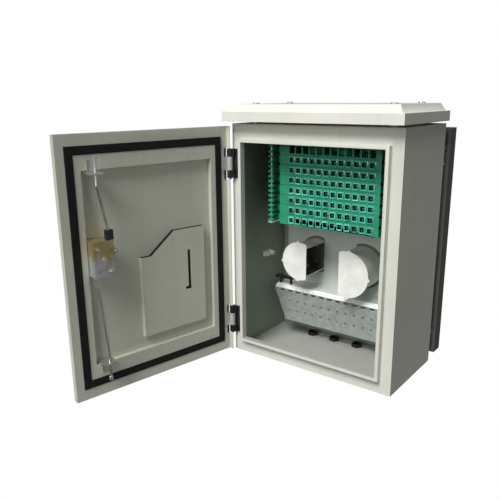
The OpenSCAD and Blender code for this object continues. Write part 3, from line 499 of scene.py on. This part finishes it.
def block(bm, low, high, index=0):
    """Adds a closed box between two corners with the material of that index."""
    low, high = Vector(low), Vector(high)
    made = bmesh.ops.create_cube(bm, size=1.0)
    for vert in made["verts"]:
        vert.co = Vector([(low[i] + high[i]) / 2 + vert.co[i] * (high[i] - low[i]) for i in range(3)])
    for face in {face for vert in made["verts"] for face in vert.link_faces}:
        face.material_index = index


# ------------------------------------------------------------------ operators

class FTB_OT_enclosure(bpy.types.Operator):
    """Finish the folded body, its back plate and their studs"""
    bl_idname = "ftb.enclosure"
    bl_label = "Enclosure"

    def execute(self, context):
        bm = solid_of("enclosure_shell")
        low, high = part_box("enclosure_shell")
        plate_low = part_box("back_plate")[0]
        # the inner walls and floor of the shell get darker copies of the body paint: painted shade inside
        # the box
        for face in bm.faces:
            face.material_index = self.surface(face, low, high, plate_low)
        piece("enclosure_shell_finished", bm, ("body_paint", "inner_wall_shade", "inner_floor_shade"),
              BODIES["enclosure_shell"], slot_of("enclosure_shell"), covers=("enclosure_shell",),
              edge=sizes().sheet_edge)
        # the back plate takes the darker inner coat, painted shade inside the box
        rounded("back_plate", "inner_paint", sizes().sheet_edge)
        dress("back_plate_studs", "zinc")
        dress("earth_stud", "brass")
        return {"FINISHED"}


    def surface(self, face, low, high, plate_low):
        """0 for the outside, 1 for the painted shade on the inner walls and 2 for the painted shade on
        the inner floor.
        """
        middle, normal = face.calc_center_median(), face.normal
        if (abs(middle.x) >= high[0] - WITHIN_SIDES or middle.z <= low[2] + ABOVE_BOTTOM
                or middle.z >= high[2] - WITHIN_SIDES):
            return 0
        if normal.z > 0.9 and middle.z < low[2] + FLOOR_REACH and middle.y > low[1] + BEHIND_FRONT:
            return 2
        side = normal.x * middle.x < -0.01
        ceiling = normal.z < -0.9 and middle.z > plate_low[2]
        rear = normal.y < -0.9 and middle.y > high[1] - NEAR_BACK
        return 1 if middle.y > low[1] + BEHIND_RIM and (side or ceiling or rear) else 0


class FTB_OT_hood(bpy.types.Operator):
    """Finish the rain hood, its spacers and bolts"""
    bl_idname = "ftb.hood"
    bl_label = "Rain hood"

    def execute(self, context):
        rounded("rain_hood", "hood_paint", sizes().cast_edge, 20.0)
        dress("hood_spacers", "zinc")
        dress("hood_bolts", "zinc")
        return {"FINISHED"}


class FTB_OT_rails(bpy.types.Operator):
    """Finish the wall rails, spacers and bolts"""
    bl_idname = "ftb.rails"
    bl_label = "Wall rails"

    def execute(self, context):
        # the rails take dark paint, darkened further as painted shade behind the box
        rounded("mount_rail_left", "rail_paint", sizes().sheet_edge)
        rounded("mount_rail_right", "rail_paint", sizes().sheet_edge)
        dress("rail_spacers", "zinc")
        dress("rail_bolts", "zinc")
        return {"FINISHED"}


class FTB_OT_trays(bpy.types.Operator):
    """Finish the tray frame, the pivot rod and the splice trays"""
    bl_idname = "ftb.trays"
    bl_label = "Splice trays"

    def execute(self, context):
        # the tray frame takes the darker inner coat, painted shade inside the box
        rounded("tray_frame", "inner_paint", sizes().sheet_edge)
        dress("tray_pivot_rod", "zinc")
        for index in range(1, 9):
            rounded(f"tray_{index}", "tray_plastic", sizes().plastic_edge)
        return {"FINISHED"}


class FTB_OT_adapters(bpy.types.Operator):
    """Finish the rows of connector adapters"""
    bl_idname = "ftb.adapters"
    bl_label = "Adapters"

    def execute(self, context):
        for index in range(2, 9):
            self.row(f"adapters_{index}")
        return {"FINISHED"}

    def row(self, node):
        """Ports and sleeves darkened as painted shade inside the holes, and a sprung steel clip beside
        each housing.
        """
        bm = solid_of(node)
        bm.faces.index_update()
        corners = []
        for faces in islands(bm):
            verts = {vert for face in faces for vert in face.verts}
            low = Vector([min(vert.co[i] for vert in verts) for i in range(3)])
            high = Vector([max(vert.co[i] for vert in verts) for i in range(3)])
            middle = (low + high) / 2
            for face in faces:
                across = max(max(abs(vert.co.x - middle.x), abs(vert.co.z - middle.z))
                             for vert in face.verts)
                # faces near the middle of a housing take the painted shade of its sleeve and port
                if across < SLEEVE_REACH:
                    face.material_index = 2
                elif across < PORT_REACH:
                    face.material_index = 1
            corners.append((low, high))
        for low, high in corners:
            self.clip(bm, low, high)
        piece(f"{node}_finished", bm, ("adapter_plastic", "port_shade", "shaded_sleeve", "clip_steel"),
              BODIES[node], slot_of(node), covers=(node,))

    def clip(self, bm, low, high):
        """The upright leg and the short front tab of a clip at an adapter's upper right."""
        edge = 0.0012
        top, outer = high.z - edge, high.x + edge
        block(bm, (high.x - edge, low.y + 0.0004, high.z - 0.0090), (outer, low.y + 0.0046, top), 3)
        block(bm, (high.x - 0.0066, low.y + 0.0001, high.z - 0.0034), (outer, low.y + edge, top), 3)


class FTB_OT_slack_storage(bpy.types.Operator):
    """Finish the slack drums and the fibre clips"""
    bl_idname = "ftb.slack_storage"
    bl_label = "Slack drums"

    def execute(self, context):
        # the faces inside each drum get painted shade
        hollowed("slack_drum_left", "drum_plastic", "drum_painted_shade", sizes().plastic_edge)
        hollowed("slack_drum_right", "drum_plastic", "drum_painted_shade", sizes().plastic_edge)
        dress("drum_screws", "zinc")
        rounded("fibre_clips", "drum_plastic", sizes().plastic_edge)
        return {"FINISHED"}


class FTB_OT_cable_fixing(bpy.types.Operator):
    """Finish the slotted bracket, its screws and the clamp"""
    bl_idname = "ftb.cable_fixing"
    bl_label = "Cable fixing"

    def execute(self, context):
        bm = solid_of("cable_bracket")
        # faces that look up get the paler zinc, painted light from above
        for face in bm.faces:
            if face.normal.z > 0.3:
                face.material_index = 1
        piece("cable_bracket_finished", bm, ("galvanised", "galvanised_painted_light"), BODIES["cable_bracket"],
              slot_of("cable_bracket"), covers=("cable_bracket",), edge=sizes().sheet_edge)
        dress("cable_bracket_screws", "zinc")
        rounded("strength_member_clamp", "black_plastic", sizes().cast_edge)
        return {"FINISHED"}


class FTB_OT_cable_entry(bpy.types.Operator):
    """Finish the gland plate and the cable glands"""
    bl_idname = "ftb.cable_entry"
    bl_label = "Cable entry"

    def execute(self, context):
        rounded("gland_plate", "body_paint", sizes().sheet_edge)
        dress("gland_plate_screws", "zinc")
        rounded("gland_bodies", "black_plastic", sizes().plastic_edge)
        rounded("gland_nuts", "black_plastic", sizes().plastic_edge)
        rounded("gland_caps", "black_plastic", sizes().cast_edge)
        dress("gland_seals", "rubber")
        return {"FINISHED"}


class FTB_OT_door(bpy.types.Operator):
    """Finish the door pan, its frame, the gasket and the document pocket"""
    bl_idname = "ftb.door"
    bl_label = "Door"

    def execute(self, context):
        rounded("door_panel", "door_paint", sizes().sheet_edge)
        rounded("door_stiffener", "door_paint", sizes().sheet_edge)
        rounded("door_gasket", "rubber", sizes().gasket_round)
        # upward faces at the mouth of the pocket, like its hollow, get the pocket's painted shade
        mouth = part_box("document_pocket")[1][2] - POCKET_STEP
        hollowed("document_pocket", "door_paint", "pocket_dark", sizes().sheet_edge,
                 also=lambda face: face.normal.z > 0.3 and face.calc_center_median().z > mouth)
        return {"FINISHED"}


class FTB_OT_hinges(bpy.types.Operator):
    """Finish both hinges and their pins"""
    bl_idname = "ftb.hinges"
    bl_label = "Hinges"

    def execute(self, context):
        rounded("hinge_bodies", "black_casting", sizes().cast_edge)
        rounded("hinge_leaves", "grey_casting", sizes().cast_edge)
        dress("hinge_pins", "zinc")
        return {"FINISHED"}


class FTB_OT_rod_lock(bpy.types.Operator):
    """Finish the lock case, the rack rods and their guides"""
    bl_idname = "ftb.rod_lock"
    bl_label = "Rod lock"

    def execute(self, context):
        rounded("lock_housing", "yellow_zinc", sizes().cast_edge)
        rounded("lock_nuts", "zinc", sizes().plastic_edge)
        dress("lock_pinion", "grey_casting")
        self.upper_rod()
        dress("rod_lower", "zinc")
        rounded("rod_guides", "zinc", sizes().sheet_edge)
        return {"FINISHED"}

    def upper_rod(self):
        """The upper rod leaves the case through a black guide shoe."""
        shoe_top, smallest = 0.023, 0.00004
        bm = solid_of("rod_upper")
        case_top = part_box("lock_housing")[1][2]
        for face in bm.faces:
            reach = [vert.co.z - case_top for vert in face.verts]
            if min(reach) > -0.001 and max(reach) < shoe_top and face.calc_area() > smallest:
                face.material_index = 1
        piece("rod_upper_finished", bm, ("zinc", "black_plastic"), BODIES["rod_upper"],
              slot_of("rod_upper"), covers=("rod_upper",))


class FTB_OT_handle(bpy.types.Operator):
    """Finish the swing handle, its plate, key cylinder and dust cover"""
    bl_idname = "ftb.handle"
    bl_label = "Handle"

    def execute(self, context):
        rounded("escutcheon", "black_plastic", sizes().cast_edge)
        rounded("handle_hub", "black_plastic", sizes().cast_edge)
        rounded("swing_handle", "black_plastic", sizes().cast_edge)
        dress("handle_pin", "zinc")
        rounded("key_cylinder", "chrome", sizes().plastic_edge)
        rounded("cylinder_cover", "black_plastic", sizes().plastic_edge)
        return {"FINISHED"}


class FTB_OT_studio(bpy.types.Operator):
    """Set the pale floor, the soft light and the camera"""
    bl_idname = "ftb.studio"
    bl_label = "Studio"

    def execute(self, context):
        studio = context.scene.ftb_studio
        scene = context.scene
        scene.view_settings.view_transform = "Standard"
        self.floor(studio)
        self.light(studio)
        self.surroundings(scene, studio)
        self.camera(studio)
        return {"FINISHED"}

    def surroundings(self, scene, studio):
        """Dim even light, seen by the camera as plain white."""
        world = bpy.data.worlds.new("studio")
        scene.world = world
        world.use_nodes = True
        tree = world.node_tree
        back = tree.nodes["Background"]
        back.inputs["Color"].default_value = (1.0, 1.0, 0.93, 1.0)
        back.inputs["Strength"].default_value = studio.ambient
        seen = tree.nodes.new("ShaderNodeBackground")
        seen.inputs["Color"].default_value = (1.0, 1.0, 1.0, 1.0)
        seen.inputs["Strength"].default_value = 1.0
        path = tree.nodes.new("ShaderNodeLightPath")
        mix = tree.nodes.new("ShaderNodeMixShader")
        tree.links.new(path.outputs["Is Camera Ray"], mix.inputs[0])
        tree.links.new(back.outputs[0], mix.inputs[1])
        tree.links.new(seen.outputs[0], mix.inputs[2])
        tree.links.new(mix.outputs[0], tree.nodes["World Output"].inputs["Surface"])

    def floor(self, studio):
        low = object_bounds()[0][2] - studio.floor_drop
        bm = bmesh.new()
        bmesh.ops.create_grid(bm, x_segments=8, y_segments=8, size=FLOOR_HALF,
                              matrix=Matrix.Translation((0.0, 0.0, low)))
        mesh = bpy.data.meshes.new("studio_floor")
        bm.to_mesh(mesh)
        bm.free()
        made = bpy.data.objects.new("studio_floor", mesh)
        bpy.context.scene.collection.objects.link(made)
        mesh.materials.append(finish("floor"))
        made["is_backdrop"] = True

    def light(self, studio):
        for name, energy, toward in (("key", studio.key, (-0.03, 0.63, -0.77)),
                                     ("front", studio.front, (0.04, 0.97, -0.22)),
                                     ("fill", studio.fill, (-1.0, 0.05, -0.1))):
            data = bpy.data.lights.new(name, "SUN")
            data.energy = energy
            data.angle = math.radians(SUN_SPREAD)
            data.color = (1.0, 0.99, 0.95)
            made = bpy.data.objects.new(name, data)
            made.rotation_euler = Vector(toward).to_track_quat("-Z", "Y").to_euler()
            bpy.context.scene.collection.objects.link(made)

    def camera(self, studio):
        yaw, pitch, roll = studio.camera_yaw, studio.camera_pitch, studio.camera_roll
        back = Vector((math.sin(yaw) * math.cos(pitch), -math.cos(yaw) * math.cos(pitch),
                       math.sin(pitch)))
        right = (-back).cross(Vector((0.0, 0.0, 1.0))).normalized()
        up = back.cross(right)
        turned = math.cos(roll) * right + math.sin(roll) * up
        over = -math.sin(roll) * right + math.cos(roll) * up
        axes = Matrix((turned, over, back)).transposed()
        data = bpy.data.cameras.new("camera")
        data.sensor_width = 36.0
        data.lens = studio.lens
        made = bpy.data.objects.new("camera", data)
        made.matrix_world = Matrix.Translation(studio.camera_at) @ axes.to_4x4()
        bpy.context.scene.collection.objects.link(made)
        bpy.context.scene.camera = made


class FTB_PT_panel(bpy.types.Panel):
    """Pieces of the termination box"""
    bl_idname = "FTB_PT_panel"
    bl_label = "Termination box"
    bl_space_type = "VIEW_3D"
    bl_region_type = "UI"
    bl_category = "Termination box"

    def draw(self, context):
        for group in (context.scene.ftb_sizes, context.scene.ftb_colours, context.scene.ftb_studio):
            column = self.layout.box().column()
            for key in group.__annotations__:
                column.prop(group, key)
        column = self.layout.column(align=True)
        for operator in PIECES + (FTB_OT_studio,):
            column.operator(operator.bl_idname)


SETTINGS = (FTB_Sizes, FTB_Colours, FTB_Studio)
PIECES = (FTB_OT_enclosure, FTB_OT_hood, FTB_OT_rails, FTB_OT_trays, FTB_OT_adapters,
          FTB_OT_slack_storage, FTB_OT_cable_fixing, FTB_OT_cable_entry, FTB_OT_door,
          FTB_OT_hinges, FTB_OT_rod_lock, FTB_OT_handle)
CLASSES = SETTINGS + PIECES + (FTB_OT_studio, FTB_PT_panel)


def register():
    for made in CLASSES:
        bpy.utils.register_class(made)
    bpy.types.Scene.ftb_sizes = PointerProperty(type=FTB_Sizes)
    bpy.types.Scene.ftb_colours = PointerProperty(type=FTB_Colours)
    bpy.types.Scene.ftb_studio = PointerProperty(type=FTB_Studio)


def unregister():
    del bpy.types.Scene.ftb_sizes
    del bpy.types.Scene.ftb_colours
    del bpy.types.Scene.ftb_studio
    for made in reversed(CLASSES):
        bpy.utils.unregister_class(made)


def main():
    register()
    for operator in PIECES + (FTB_OT_studio,):
        group, name = operator.bl_idname.split(".")
        getattr(getattr(bpy.ops, group), name)()


if __name__ == "__main__":
    main()
